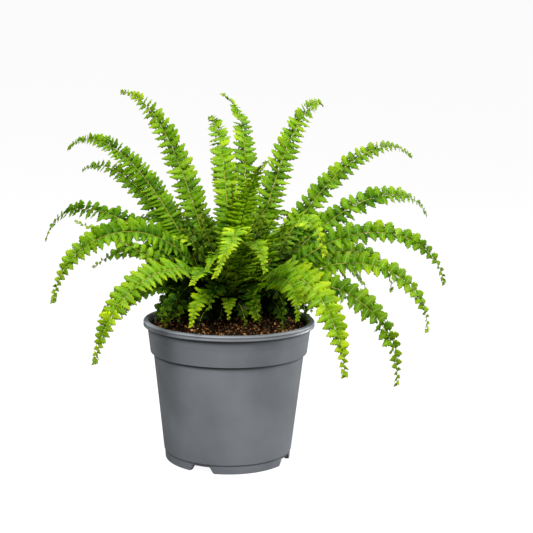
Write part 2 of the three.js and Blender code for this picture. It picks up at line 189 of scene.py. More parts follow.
# A ring of fronds is its radius, the heading of its first stem and its rows. Its stems stand evenly
# spaced round the crown. A row is one frond, with these values:
# heading  direction it grows in, degrees anticlockwise from the right, seen from above
# sweep    degrees that the heading has turned by at the tip
# rise     slope of the stem above the soil, in degrees
# droop    degrees that the slope has fallen by at the tip
# bend     1 for a rib that bends evenly, more for one that bends late
# length   of the rib from the soil to the tip, millimetres
# leaflet  length of the longest leaflet, millimetres
# lean     roll of the blade about its rib in degrees, positive with its left edge up
# tone     0 for an old dark green frond, 1 for a young bright one
# close    share of the usual distance between its leaflets, 1 where it isn't given
RINGS = (
    (3, 90, (
        (105, -5, 86, 95, 1.9, 203, 12, -15, 0.6, 0.75),
        (172, -10, 80, 125, 2, 92, 10, -20, 0.5),
        (255, 0, 80, 125, 1.5, 95, 12, 10, 0.38, 0.6),
    )),
    (9, 330, (
        (26, 20, 53, 90, 3.4, 226, 11, 55, 0.5),
        (47, 30, 70, 89, 3.1, 226, 13, 45, 0.55, 0.8),
        (77, 49, 80, 66, 1.9, 209, 12, 10, 0.45, 0.8),
        (95, 10, 76, 110, 1.8, 175, 12, 0, 0.4, 0.55),
        (143, -17, 68, 75, 3.4, 223, 13, -50, 0.55, 0.85),
        (154, -23, 57, 97, 3.1, 224, 11, -50, 0.4, 0.65),
        (263, -8, 71, 94, 0.9, 106, 12, 0, 0.4, 0.6),
        (284, -39, 76, 122, 1.1, 186, 12, 0, 0.6, 0.6),
        (289, 4, 83, 66, 1.8, 145, 12, 5, 0.75, 0.55),
    )),
    (15, 347, (
        (352, 2, 46, 130, 2.3, 190, 12, 45, 0.35),
        (9, 42, 50, 102, 2.5, 203, 12, 50, 0.35),
        (40, 0, 62, 120, 1.6, 170, 12, 30, 0.4),
        (66, 10, 66, 130, 1.5, 178, 12, 10, 0.4),
        (90, -10, 58, 125, 1.5, 160, 12, 0, 0.3),
        (112, 10, 64, 130, 1.5, 180, 12, -10, 0.4),
        (134, 10, 64, 130, 1.6, 165, 12, -30, 0.4),
        (157, -30, 58, 87, 2.6, 191, 11, -50, 0.35),
        (165, -42, 50, 111, 1.9, 206, 11, -45, 0.2),
        (188, -25, 60, 42, 0.5, 128, 9, -45, 0.5),
        (216, -3, 66, 151, 1.5, 188, 12, -50, 0.4, 0.85),
        (232, -15, 73, 155, 0.9, 171, 14, -30, 0.58, 0.7),
        (288, -5, 67, 125, 1.9, 131, 12, 10, 0.4, 0.7),
        (298, -14, 51, 105, 2.5, 187, 12, 20, 0.6),
        (304, 3, 73, 159, 0.9, 174, 15, 30, 0.75, 0.85),
    )),
    (21.5, 324, (
        (345, 8, 58, 154, 0.9, 167, 13, 50, 0.5),
        (353, 6, 43, 136, 1.7, 173, 12, 45, 0.55),
        (7, 14, 47, 141, 2.2, 144, 12, 45, 0.5),
        (24, 10, 50, 130, 1.6, 132, 12, 35, 0.3),
        (46, -10, 55, 140, 1.4, 150, 12, 20, 0.3),
        (66, 10, 60, 150, 1.4, 160, 12, 10, 0.3),
        (86, -10, 50, 130, 1.5, 150, 12, 0, 0.3),
        (106, 10, 55, 145, 1.4, 165, 12, -10, 0.3),
        (124, -10, 60, 150, 1.3, 150, 12, -20, 0.3),
        (146, 10, 50, 140, 1.5, 120, 12, -30, 0.2),
        (167, 6, 60, 107, 1.4, 117, 10, -45, 0.2),
        (180, 10, 55, 135, 1.3, 80, 9, -40, 0.2),
        (186, 0, 50, 120, 1.3, 95, 9, -40, 0.3),
        (191, -10, 52, 130, 1.2, 82, 9, -40, 0.2),
        (215, 0, 59, 143, 1.2, 55, 8, -30, 0.2),
        (228, 0, 59, 149, 1.4, 50, 8, -15, 0.3),
        (255, -10, 69, 143, 1.1, 78, 10, -10, 0.7, 0.6),
        (272, 0, 75, 150, 1.2, 48, 7, 0, 0.5, 0.7),
        (308, -34, 38, 122, 2.6, 118, 14, 35, 0.42, 0.45),
        (335, 0, 59, 122, 1.3, 70, 9, 30, 0.4),
    )),
    (27.5, 285, (
        (300, 0, 80, 165, 1.2, 40, 8, 20, 0.5, 0.7),
        (340, 0, 65, 125, 1.2, 42, 8, 20, 0.2),
        (60, 0, 60, 130, 1.3, 50, 8, 0, 0.3),
        (130, 0, 60, 130, 1.3, 50, 8, 0, 0.3),
        (205, 0, 62, 130, 1.2, 42, 8, -15, 0.2),
    )),
)

Frond = namedtuple("Frond", "base heading sweep rise droop bend length leaflet lean tone bare close inner")


# Settings

class FernPot(bpy.types.PropertyGroup):
    """Sizes and colour of the pot."""
    wall: bpy.props.FloatProperty(
        name="Wall", description="Thickness of the pot's wall", default=1.7 * MM, unit="LENGTH")
    rounding: bpy.props.FloatProperty(
        name="Rounding", description="Radius of the pot's moulded edges", default=0.4 * MM, unit="LENGTH")
    ridge: bpy.props.FloatProperty(
        name="Ridge", description="Height of the fine rings on the lip", default=0.12 * MM, unit="LENGTH")
    colour: bpy.props.FloatVectorProperty(
        name="Plastic", description="Colour of the moulded plastic", subtype="COLOR",
        default=(0.139, 0.150, 0.164))


class FernSoil(bpy.types.PropertyGroup):
    """Look of the potting soil."""
    crumbs: bpy.props.IntProperty(
        name="Crumbs", description="Number of loose crumbs on the soil", default=4800)
    crumb_size: bpy.props.FloatProperty(
        name="Crumb size", description="Radius of a middling crumb", default=0.57 * MM, unit="LENGTH")
    grain: bpy.props.FloatProperty(
        name="Grain", description="Height of the soil's fine lumps", default=0.7 * MM, unit="LENGTH")
    dark: bpy.props.FloatVectorProperty(
        name="Peat", description="Colour of damp peat", subtype="COLOR", default=(0.010, 0.005, 0.0025))
    light: bpy.props.FloatVectorProperty(
        name="Fibre", description="Colour of dry crumbs and fibres", subtype="COLOR",
        default=(0.75, 0.36, 0.12))


class FernFoliage(bpy.types.PropertyGroup):
    """Sizes and colours of the fronds."""
    pitch: bpy.props.FloatProperty(
        name="Pitch", description="Widest distance between a frond's leaflets, as a share of their length",
        default=0.62)
    width: bpy.props.FloatProperty(
        name="Width", description="Width of a leaflet as a share of the distance between leaflets",
        default=1.65)
    thickness: bpy.props.FloatProperty(
        name="Thickness", description="Thickness of a leaflet at its midrib", default=0.35 * MM,
        unit="LENGTH")
    gap: bpy.props.FloatProperty(
        name="Gap", description="From the middle of a rib to a leaflet's blade", default=0.12 * MM,
        unit="LENGTH")
    stem_width: bpy.props.FloatProperty(
        name="Stem width", description="Width of a stem at the soil", default=1.6 * MM, unit="LENGTH")
    tip_width: bpy.props.FloatProperty(
        name="Tip width", description="Width of a rib at its tip", default=0.4 * MM, unit="LENGTH")
    inner: bpy.props.IntProperty(
        name="Inner fronds", description="Number of short fronds that fill the crown", default=90)
    seed: bpy.props.IntProperty(name="Seed", description="Start of the random draws", default=7)
    old_leaf: bpy.props.FloatVectorProperty(
        name="Old leaf", description="Colour of an old frond", subtype="COLOR",
        default=(0.009, 0.060, 0.0004))
    middle_leaf: bpy.props.FloatVectorProperty(
        name="Middle leaf", description="Colour between old and young", subtype="COLOR",
        default=(0.098, 0.222, 0.0008))
    young_leaf: bpy.props.FloatVectorProperty(
        name="Young leaf", description="Colour of a young frond", subtype="COLOR",
        default=(0.345, 0.458, 0.003))


class FernStage(bpy.types.PropertyGroup):
    """Camera and light."""
    pitch: bpy.props.FloatProperty(
        name="Pitch", description="How far the camera looks down", default=np.radians(8.45), subtype="ANGLE")
    roll: bpy.props.FloatProperty(
        name="Roll", description="Turn of the camera about its view", default=np.radians(0.96),
        subtype="ANGLE")
    distance: bpy.props.FloatProperty(
        name="Distance", description="From the camera to its target", default=830 * MM, unit="LENGTH")
    target: bpy.props.FloatVectorProperty(
        name="Target", description="Point at the middle of the picture", subtype="TRANSLATION",
        default=(27.6 * MM, 0, 147.3 * MM))
    lens: bpy.props.FloatProperty(name="Lens", description="Focal length, millimetres", default=74.3)
    light: bpy.props.FloatProperty(name="Light", description="Strength of the studio lights", default=1.0)


SETTINGS = {"fern_pot": FernPot, "fern_soil": FernSoil, "fern_foliage": FernFoliage, "fern_stage": FernStage}


# Meshes

def grid_quads(rows, columns, first=0, closed=False):
    """Corner numbers of the quads between neighbouring rows of a grid, as an array (quads, 4).

    Vertex (i, j) has the number first + i * columns + j. A closed grid joins its last column to its
    first. Seen from the side that the quads face, columns go to the right where rows go up.
    """
    i, j = np.meshgrid(np.arange(rows - 1), np.arange(columns if closed else columns - 1), indexing="ij")
    here = first + i * columns + j
    right = first + i * columns + (j + 1) % columns
    return np.stack([here, right, right + columns, here + columns], axis=-1).reshape(-1, 4)


def fan(hub, rim):
    """Triangles from one hub vertex to each pair of neighbours along a rim, as an array (n, 3)."""
    return np.stack([np.full(len(rim) - 1, hub), rim[:-1], rim[1:]], axis=-1)


def headings(columns):
    """Evenly spaced headings all round, in radians."""
    return np.arange(columns) * 2 * np.pi / columns


def turn_between(heading, other):
    """The turn from one heading to another by the shorter way round, from 0 to pi."""
    return np.abs((heading - other + np.pi) % (2 * np.pi) - np.pi)


def turned(radius, height, heading):
    """A profile turned round z (rows, columns, 3): (r cos a, r sin a, z) for each row and heading a.

    The height has one value for each row, or one for each row and column.
    """
    radius = radius[:, None]
    height = height if height.ndim == 2 else height[:, None]
    parts = np.broadcast_arrays(radius * np.cos(heading), radius * np.sin(heading), height)
    return np.stack(parts, axis=-1)


def shell_faces(rows, columns):
    """Quads of a closed grid, and the triangles that join its first and last rows to two hubs.

    The hubs are the two vertices that follow the grid's own.
    """
    hub = rows * columns
    rim = np.append(np.arange(columns), 0)
    ends = np.vstack([fan(hub, rim)[:, ::-1], fan(hub + 1, rim + hub - columns)])
    return grid_quads(rows, columns, closed=True), ends


def add_mesh(name, points, polygons, materials, slots=None, uv=None, values=None):
    """Makes a smooth shaded object at the origin from points (n, 3) and arrays of corner numbers.

    The values are attributes of the points, or of the faces where there is one for each face.
    """
    mesh = bpy.data.meshes.new(name)
    mesh.vertices.add(len(points))
    mesh.vertices.foreach_set("co", np.ascontiguousarray(points, dtype=np.float32).ravel())
    corners = np.concatenate([faces.ravel() for faces in polygons]).astype(np.int32)
    sizes = np.concatenate([np.full(len(faces), faces.shape[1]) for faces in polygons])
    mesh.loops.add(len(corners))
    mesh.loops.foreach_set("vertex_index", corners)
    mesh.polygons.add(len(sizes))
    mesh.polygons.foreach_set("loop_start", (np.cumsum(sizes) - sizes).astype(np.int32))
    if slots is not None:
        mesh.polygons.foreach_set("material_index", np.asarray(slots, dtype=np.int32))
    mesh.update(calc_edges=True)
    if uv is not None:
        layer = mesh.uv_layers.new(name="Pattern")
        layer.data.foreach_set("uv", np.ascontiguousarray(uv[corners], dtype=np.float32).ravel())
    for key, data in (values or {}).items():
        attribute = mesh.attributes.new(key, "FLOAT", "POINT" if len(data) == len(points) else "FACE")
        attribute.data.foreach_set("value", np.asarray(data, dtype=np.float32))
    for material in materials:
        mesh.materials.append(material)
    mesh.shade_smooth()
    piece = bpy.data.objects.new(name, mesh)
    bpy.context.scene.collection.objects.link(piece)
    return piece


def settle(piece, slot, *nodes):
    """The piece rides on the plant's one body and stands for the nodes of the frame, if any are named."""
    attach(piece, BODY)
    if nodes:
        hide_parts(*nodes)


def rounded(corners, radius, steps=4):
    """An outline (n, 2) with each inner corner as an arc, cut no longer than a third of its sides.

    The arc is the quadratic curve from the point before the corner to the point after it:
    (1 - t)^2 start + 2 t (1 - t) corner + t^2 end.
    """
    before, here, after = corners[:-2], corners[1:-1], corners[2:]
    reach = [np.minimum(radius, np.linalg.norm(side - here, axis=1) / 3) for side in (before, after)]
    toward = [(side - here) / np.linalg.norm(side - here, axis=1)[:, None] for side in (before, after)]
    start, end = (here + t * r[:, None] for t, r in zip(toward, reach))
    t = np.linspace(0, 1, steps + 1)[None, :, None]
    arcs = (1 - t) ** 2 * start[:, None] + 2 * t * (1 - t) * here[:, None] + t ** 2 * end[:, None]
    return np.vstack([corners[:1], arcs.reshape(-1, 2), corners[-1:]])


def subdivided(outline, longest):
    """The outline (n, 2) with points added evenly wherever a side is longer than the given length."""
    parts = []
    for start, end in zip(outline[:-1], outline[1:]):
        count = max(1, int(np.ceil(np.linalg.norm(end - start) / longest)))
        parts.append(start + (end - start) * (np.arange(count) / count)[:, None])
    return np.vstack(parts + [outline[-1:]])


def noise(points, scale, seed):
    """Smooth noise, mostly from -1 to 1, at points (n, d): five sine waves that run in random directions.

    It is 1.6 times the mean of sin(k . p / scale + phase), with each k a random vector about 6 long.
    """
    rng = np.random.default_rng(seed)
    waves = rng.normal(size=(5, points.shape[-1])) * 6 / np.sqrt(points.shape[-1])
    phases = rng.uniform(0, 2 * np.pi, 5)
    return np.sin(points @ waves.T / scale + phases).mean(axis=-1) * 1.6


# Materials

class Painter:
    """Short calls for the nodes of one material. An input is another node's socket or a plain value."""

    def __init__(self, tree):
        self.tree = tree

    def node(self, kind, inputs=None, **settings):
        made = self.tree.nodes.new(kind)
        for key, value in settings.items():
            setattr(made, key, value)
        self.fill(made, inputs or {})
        return made

    def fill(self, made, inputs):
        """Links or sets a node's inputs, which are given by name or number."""
        for key, value in inputs.items():
            if isinstance(value, bpy.types.NodeSocket):
                self.tree.links.new(value, made.inputs[key])
            else:
                made.inputs[key].default_value = value

    def place(self):
        return self.node("ShaderNodeTexCoord").outputs["Object"]

    def parts(self, vector):
        return self.node("ShaderNodeSeparateXYZ", {"Vector": vector}).outputs

    def noise(self, scale, detail=3.0, roughness=0.5):
        inputs = {"Vector": self.place(), "Scale": scale, "Detail": detail, "Roughness": roughness}
        return self.node("ShaderNodeTexNoise", inputs).outputs["Fac"]

    def cells(self, scale):
        """A random colour for each cell of a size."""
        inputs = {"Vector": self.place(), "Scale": scale}
        return self.node("ShaderNodeTexVoronoi", inputs).outputs["Color"]

    def math(self, operation, *values):
        inputs = dict(enumerate(values))
        return self.node("ShaderNodeMath", inputs, operation=operation).outputs[0]

    def plus(self, one, other):
        return self.math("ADD", one, other)

    def minus(self, one, other):
        return self.math("SUBTRACT", one, other)

    def times(self, one, other):
        return self.math("MULTIPLY", one, other)

    def length(self, x, y):
        """The length of (x, y)."""
        return self.math("SQRT", self.plus(self.times(x, x), self.times(y, y)))

    def spread(self, value, low, high, to_low=0.0, to_high=1.0):
        """The value between low and high, turned into to_low and to_high with smooth ends."""
        inputs = {"Value": value, 1: low, 2: high, 3: to_low, 4: to_high}
        return self.node("ShaderNodeMapRange", inputs, interpolation_type="SMOOTHSTEP").outputs[0]

    def mix(self, factor, one, other):
        return self.node("ShaderNodeMix", {0: factor, 6: one, 7: other}, data_type="RGBA").outputs[2]

    def attribute(self, name):
        return self.node("ShaderNodeAttribute", attribute_name=name).outputs["Fac"]

    def pattern(self):
        """The two coordinates of the piece's own pattern map."""
        return self.parts(self.node("ShaderNodeUVMap", uv_map="Pattern").outputs["UV"])

    def bump(self, shader, height, distance, strength=1.0, normal=None):
        inputs = {"Height": height, "Distance": distance, "Strength": strength}
        if normal is not None:
            inputs["Normal"] = normal
        made = self.node("ShaderNodeBump", inputs).outputs["Normal"]
        self.fill(shader, {"Normal": made})
        return made


def new_material(name):
    """A material with one Principled shader. Returns the material, its painter and the shader."""
    material = bpy.data.materials.new(name)
    material.use_nodes = True
    tree = material.node_tree
    return material, Painter(tree), tree.nodes["Principled BSDF"]


def colour4(colour, share=1.0):
    """A setting's colour, made lighter or darker by a share, with full alpha."""
    return (colour[0] * share, colour[1] * share, colour[2] * share, 1.0)


def plastic_material(settings):
    """Satin grey plastic with a soft mottle, faint scuffs and a fine moulded grain.

    Painted shade darkens it in a narrow band under each ledge and on the inside above the soil, and a
    painted highlight lightens the lip's top edge.
    """
    material, paint, shader = new_material("grey_plastic")
    x, y, z = paint.parts(paint.place())
    radius = paint.length(x, y)
    mottle = paint.spread(paint.noise(26, 4.0), 0.3, 0.7)
    tint = paint.mix(mottle, colour4(settings.colour, 0.87), colour4(settings.colour, 1.13))
    scuffs = paint.spread(paint.noise(420, 5.0, 0.7), 0.60, 0.75, 0.0, 0.25)
    grey = paint.mix(scuffs, tint, colour4(settings.colour, 1.5))
    # Painted shade in a narrow band under each ledge, where its overhang shades the wall
    for ledge, reach, depth in SHADED_LEDGES:
        below = paint.math("LESS_THAN", z, ledge + 0.05 * MM)
        near = paint.spread(z, ledge - reach * MM, ledge - 0.3 * MM, 0.0, depth)
        grey = paint.mix(paint.times(below, near), grey, LEDGE_SHADE_COLOUR)
    # Painted shade on the inside of the lip, above the soil
    bore = LIP_RADIUS - LIP_WIDTH
    inside = paint.times(paint.spread(z, *INSIDE_SHADE_HEIGHT),
                         paint.spread(radius, bore - 0.5 * MM, bore, 0.6, 0.0))
    grey = paint.mix(inside, grey, INSIDE_SHADE_COLOUR)
    # Painted highlight on the lip's top outer edge, where light from above catches it
    edge_highlight = paint.times(paint.spread(z, POT_HEIGHT - 1.5 * MM, POT_HEIGHT - 0.8 * MM),
                       paint.spread(radius, LIP_RADIUS - 1.6 * MM, LIP_RADIUS - 0.9 * MM, 0.0, 0.4))
    paint.fill(shader, {
        "Base Color": paint.mix(edge_highlight, grey, colour4(settings.colour, 2.2)),
        "Roughness": paint.spread(paint.noise(60, 3.0), 0.3, 0.7, 0.36, 0.50),
        "Specular IOR Level": 0.5,
    })
    paint.bump(shader, paint.noise(1500, 2.0), 0.00003, 0.6)
    return material


def soil_material(settings, name, crumbs):
    """Peat: dark lumps with a few lighter cells, or crumbs whose attribute dry runs from 0 to 1."""
    material, paint, shader = new_material(name)
    if crumbs:
        dry = paint.math("POWER", paint.attribute("dry"), 5.0)
    else:
        pick = paint.node("ShaderNodeSeparateColor", {"Color": paint.cells(620)}).outputs[0]
        dry = paint.spread(pick, 0.9, 1.0, 0.0, 0.3)
    shade = paint.spread(paint.noise(900, 4.0, 0.7), 0.3, 0.75)
    peat = paint.mix(shade, colour4(settings.dark, 0.5), colour4(settings.dark, 2.4))
    tan = paint.mix(shade, colour4(settings.light, 0.5), colour4(settings.light, 1.3))
    paint.fill(shader, {
        "Base Color": paint.mix(dry, peat, tan),
        "Roughness": 0.92,
        "Specular IOR Level": 0.05,
    })
    paint.bump(shader, paint.noise(1400, 4.0, 0.7), 0.0004, 0.9)
    return material


def leaf_material(settings):
    """Leaf: from the old to the young colour with the frond's tone, towards its edges and its tip.

    The pattern map runs from 0 at a leaflet's base to 1 at its tip, and from 0 to 1 across it with the
    midrib at a half. The attribute tone is the frond's age, under is 1 on a leaflet's lower faces,
    which are paler, partly their own colour and partly painted light that stands in for light through
    the leaf, and inner is 1 on the inner fronds. The darker base is partly the leaf's own colour and
    partly painted shade where leaflets overlap. The pale midrib is partly its own colour and partly a
    painted highlight. Shade is painted on leaves low in the crown, on the inner ones most of all.
    """
    material, paint, shader = new_material("leaf_green")
    along, across, _ = paint.pattern()
    off = paint.math("ABSOLUTE", paint.minus(across, 0.5))
    tone = paint.attribute("tone")
    old, middle, young = settings.old_leaf, settings.middle_leaf, settings.young_leaf
    edge = paint.spread(paint.plus(off, paint.times(along, 0.1)), 0.38, 0.56, 0.0, 0.22)
    patch = paint.spread(paint.noise(70, 3.0), 0.25, 0.75, -0.22, 0.02)
    # Darker towards a leaflet's base: partly its own colour, partly painted shade where leaflets overlap
    # near the rib
    level = paint.plus(paint.times(tone, 0.65), paint.times(along, 0.34))
    level = paint.plus(paint.plus(level, edge), patch)
    green = paint.mix(paint.spread(level, 0.0, 0.5), colour4(old), colour4(middle))
    green = paint.mix(paint.spread(level, 0.38, 1.05), green, colour4(young, 1.08))
    vein_place = paint.minus(paint.times(along, 11.0), paint.times(off, 7.0))
    vein = paint.math("ABSOLUTE", paint.minus(paint.math("FRACT", vein_place), 0.5))
    vein_line = paint.spread(vein, 0.0, 0.2, 1.0, 0.0)
    green = paint.mix(paint.times(vein_line, 0.12), green, colour4(young, 0.8))
    # Pale midrib: partly its own colour, partly a painted highlight along each leaflet
    midrib = paint.spread(off, 0.0, 0.07, 1.0, 0.0)
    pale = paint.times(midrib, paint.spread(tone, 0.1, 0.7, 0.1, 0.4))
    green = paint.mix(pale, green, MIDRIB_GREEN)
    # Lower faces paler: partly their own colour, partly painted light that stands in for light through the
    # leaf
    green = paint.mix(paint.times(paint.attribute("under"), 0.85), green, UNDER_GREEN)
    x, y, z = paint.parts(paint.place())
    y = paint.minus(y, CROWN[1])
    out = paint.length(x, y)
    crown = paint.times(paint.spread(out, *SHADE_OUT, 1.0, 0.0), paint.spread(z, *SHADE_HEIGHT, 0.92, 0.0))
    crown = paint.times(crown, paint.spread(y, *SHADE_FRONT, 0.45, 1.0))
    inner = paint.times(paint.attribute("inner"), paint.spread(z, *INNER_SHADE_HEIGHT, 0.98, 0.4))
    inner = paint.times(inner, paint.spread(out, *INNER_SHADE_OUT, 1.0, 0.25))
    green = paint.mix(paint.math("MAXIMUM", crown, inner), green, CROWN_SHADE)
    paint.fill(shader, {
        "Base Color": green,
        "Roughness": paint.spread(paint.noise(180, 2.0), 0.3, 0.7, 0.17, 0.30),
        "Specular IOR Level": paint.spread(tone, 0.1, 0.7, 0.03, 0.08),
    })
    height = paint.plus(paint.times(vein_line, -0.6), paint.times(midrib, -1.0))
    veins = paint.bump(shader, height, 0.00018, 0.8)
    paint.bump(shader, paint.noise(550, 3.0, 0.6), 0.0008, 0.6, veins)
    return material


def rib_material():
    """Stem and rib: golden green on top, brown below and at the foot, with a fine mottle.

    The pattern map runs from 0 at the soil to 1 at the tip, and from 0 at the underside to 1 on top.
    """
    material, paint, shader = new_material("rib_gold")
    along, top, _ = paint.pattern()
    tone = paint.attribute("tone")
    light = paint.mix(tone, *RIB_TOP)
    dark = paint.mix(tone, *RIB_UNDER)
    share = paint.times(paint.spread(top, 0.3, 0.7), paint.spread(along, 0.05, 0.40))
    share = paint.math("MAXIMUM", share, paint.spread(along, 0.5, 0.9))
    mottle = paint.spread(paint.noise(500, 3.0), 0.3, 0.7, -0.15, 0.15)
    paint.fill(shader, {
        "Base Color": paint.mix(paint.plus(share, mottle), dark, light),
        "Roughness": 0.42,
        "Specular IOR Level": 0.2,
    })
    paint.bump(shader, paint.noise(1200, 2.0), 0.0001, 0.5)
    return material


def foliage_materials(settings):
    """The materials of leaflets and ribs, made once for all the fronds."""
    found = [bpy.data.materials.get(name) for name in ("leaf_green", "rib_gold")]
    return found if all(found) else [leaf_material(settings), rib_material()]


# Pot

def notch_rise(heading):
    """Height of the drain notches' roof above the ground at each heading (n,), zero between the notches."""
    rise = np.zeros_like(heading)
    slant = (NOTCH_FOOT_WIDTH - NOTCH_TOP_WIDTH) / 2
    for middle in np.radians(NOTCH_HEADINGS):
        off = turn_between(heading, middle) * FOOT_RADIUS
        rise = np.maximum(rise, np.clip((NOTCH_FOOT_WIDTH / 2 - off) / slant, 0, 1) * NOTCH_HEIGHT)
    return rise


def pot_outline(settings):
    """The pot's section as [radius, height] points.

    Its outside runs from the middle of the floor's underside up to the lip and its inside from the lip
    down to the middle of the floor. The fine rings on the lip, between them, come last.
    """
    wall = settings.wall
    under = POT_HEIGHT - LIP_DEPTH
    rings = np.linspace(LIP_RADIUS - 0.8 * MOULD_STEP, LIP_RADIUS - LIP_WIDTH, LIP_RINGS * 4 + 1)
    waves = settings.ridge * (np.cos(np.linspace(0, 2 * np.pi * LIP_RINGS, len(rings))) - 1)
    outside = np.array([
        [0, FLOOR_HEIGHT],
        [DRAIN_OUT - DRAIN_DEPTH, FLOOR_HEIGHT],
        [DRAIN_OUT, FLOOR_HEIGHT],
        [FOOT_RADIUS - FOOT_RING, FLOOR_HEIGHT],
        [FOOT_RADIUS - FOOT_RING, 0],
        [FOOT_RADIUS, 0],
        [FOOT_RADIUS + MOULD_STEP / 2, FOOT_HEIGHT],
        [FOOT_RADIUS + MOULD_STEP, FOOT_HEIGHT + MOULD_STEP / 2],
        [BODY_TOP_RADIUS, SHOULDER_HEIGHT - MOULD_STEP],
        [BODY_TOP_RADIUS + MOULD_STEP / 2, SHOULDER_HEIGHT],
        [COLLAR_FOOT_RADIUS, SHOULDER_HEIGHT],
        [COLLAR_TOP_RADIUS, under],
        [COLLAR_TOP_RADIUS + MOULD_STEP / 2, under + MOULD_STEP / 2],
        [LIP_RADIUS - MOULD_STEP / 2, under],
        [LIP_RADIUS, under + MOULD_STEP / 2],
        [LIP_RADIUS - MOULD_STEP / 2, under + LIP_DEPTH / 2],
        [LIP_RADIUS, POT_HEIGHT - MOULD_STEP],
        [rings[0], POT_HEIGHT],
    ])
    inside = np.array([
        [rings[-1], POT_HEIGHT],
        [COLLAR_TOP_RADIUS - wall, under],
        [COLLAR_FOOT_RADIUS - wall, SHOULDER_HEIGHT],
        [BODY_TOP_RADIUS - wall, SHOULDER_HEIGHT - 2 * wall],
        [FOOT_RADIUS - wall, FLOOR_HEIGHT + wall],
        [DRAIN_OUT, FLOOR_HEIGHT + wall],
        [DRAIN_OUT - DRAIN_DEPTH, FLOOR_HEIGHT + wall],
        [0, FLOOR_HEIGHT + wall],
    ])
    lip = np.stack([rings, POT_HEIGHT + waves], axis=1)[1:-1]
    return [subdivided(rounded(part, settings.rounding), OUTLINE_STEP) for part in (outside, inside)], lip


class FERN_OT_pot(bpy.types.Operator):
    """Make the pot: a profile turned round z, with drain notches in its foot and fine rings on its lip"""
    bl_idname = "fern.pot"
    bl_label = "Make pot"

    def execute(self, context):
        """Turns the outline: point (r, z) goes to (r cos a, r sin a, z) for each heading a.

        Near the ground z becomes h + z (1 - h / H), where h is the notch's roof at that heading and H
        the height that the notches are blended over.
        """
        settings = context.scene.fern_pot
        (outside, inside), lip = pot_outline(settings)
        outline = np.vstack([outside, lip, inside])
        radius, height = outline.T
        heading = headings(POT_COLUMNS)
        blend = FOOT_HEIGHT - MOULD_STEP / 4
        foot = (height < blend) & (radius > FOOT_RADIUS - 1.5 * FOOT_RING)
        roof = notch_rise(heading)[None, :]
        lifted = roof + height[:, None] * (1 - roof / blend)
        z = np.where(foot[:, None], lifted, height[:, None] + 0 * roof)
        inner = slice(1, -1)
        hubs = [[0, 0, height[0]], [0, 0, height[-1]]]
        points = np.vstack([turned(radius[inner], z[inner], heading).reshape(-1, 3), hubs])
        quads, ends = shell_faces(len(outline) - 2, POT_COLUMNS)
        quads = self.cut_drains(quads, outline[inner], heading)
        piece = add_mesh("pot_shell", points, [quads, ends], [plastic_material(settings)])
        settle(piece, "pot_plastic", "pot")
        return {"FINISHED"}

    def cut_drains(self, quads, outline, heading):
        """Leaves the drain holes out of both faces of the floor and walls them in.

        A hole takes the columns whose headings lie within half its width of a notch's middle, and the
        rows between its two radii. The same columns and rows go from the floor's top and its underside.
        """
        off = turn_between(heading[:, None], np.radians(NOTCH_HEADINGS))
        open_column = (off.min(axis=1) + np.pi / POT_COLUMNS) * DRAIN_OUT < DRAIN_WIDTH / 2
        open_column = open_column & np.roll(open_column, -1)
        radius, height = outline.T
        low, high = ((height < FLOOR_HEIGHT + above * MM) & (height > FLOOR_HEIGHT - 0.1 * MM)
                     for above in (0.1, 3.0))
        within = (radius < DRAIN_OUT + HAIR) & (radius > DRAIN_OUT - DRAIN_DEPTH - HAIR)
        under = np.flatnonzero(low & within)
        over = np.flatnonzero(high & ~low & within)[::-1]
        grid = quads.reshape(len(outline) - 1, POT_COLUMNS, 4)
        keep = np.ones(grid.shape[:2], dtype=bool)
        keep[under[0]:under[-1]] &= ~open_column
        keep[over[-1]:over[0]] &= ~open_column
        columns = np.flatnonzero(open_column)
        after = (columns + 1) % POT_COLUMNS
        walls = []
        for row, top, turn in ((under[0], over[0], -1), (under[-1], over[-1], 1)):
            low_row, top_row = row * POT_COLUMNS, top * POT_COLUMNS
            wall = [low_row + columns, top_row + columns, top_row + after, low_row + after]
            walls.append(np.stack(wall, axis=1)[:, ::turn])
        starts = columns[~open_column[columns - 1]]
        ends = after[~open_column[after]]
        for ring, turn in ((starts, 1), (ends, -1)):
            low_side = under[:, None] * POT_COLUMNS + ring
            top_side = over[:, None] * POT_COLUMNS + ring
            wall = [low_side[:-1], top_side[:-1], top_side[1:], low_side[1:]]
            walls.append(np.stack(wall, axis=-1).reshape(-1, 4)[:, ::turn])
        return np.vstack([grid[keep], *walls])


# Soil

def soil_height(x, y):
    """Height of the plain heap: it falls from the crown to the edge, with low lumps from crossing waves."""
    share = np.minimum(1, np.hypot(x, y) / SOIL_RADIUS)
    broad = np.sin(BROAD_WAVES[0] * x + 1) * np.cos(BROAD_WAVES[1] * y)
    lumps = broad + 0.5 * np.sin(CROSS_WAVES[1] * y - CROSS_WAVES[0] * x)
    fall = (SOIL_CROWN_HEIGHT - SOIL_EDGE_HEIGHT) * share ** 2
    return SOIL_CROWN_HEIGHT - fall + SOIL_LUMP * lumps * (1 - share ** 4)


